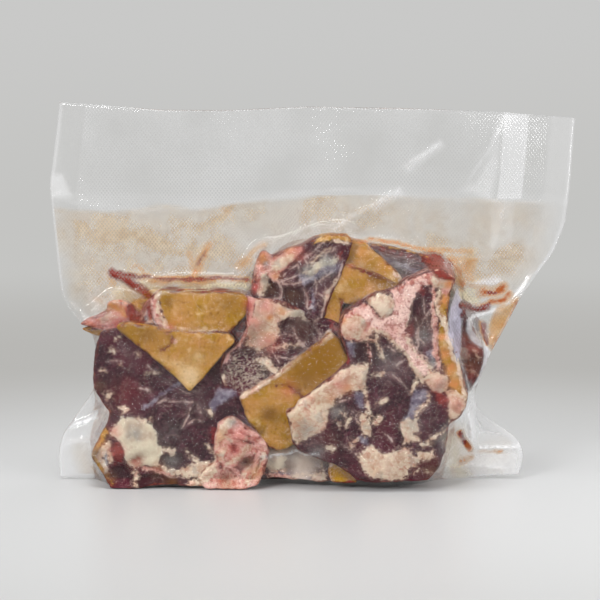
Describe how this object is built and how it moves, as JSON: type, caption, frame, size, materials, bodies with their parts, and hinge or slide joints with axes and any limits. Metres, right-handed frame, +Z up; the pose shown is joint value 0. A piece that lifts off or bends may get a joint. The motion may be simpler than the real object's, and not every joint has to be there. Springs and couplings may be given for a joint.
{
  "type": "vacuum pack of raw goat meat",
  "caption": "Clear vacuum pouch tightly drawn over raw skin-on goat meat cut into thick bone-in pieces, standing upright on its flattened base with an empty header above the seal.",
  "frame": {"origin": "on the floor, under the middle of the pouch's bounding box", "axes": "+X runs along the pouch to the right of the shown face, +Y points to the back, +Z points up"},
  "size_m": [0.2798, 0.068, 0.2025],
  "materials": {
    "film": "clear glossy film with a fine diamond emboss, hazier in the seals"
  },
  "bodies": {
    "root": {"sealed_pouch": "film"}
  },
  "joints": []
}
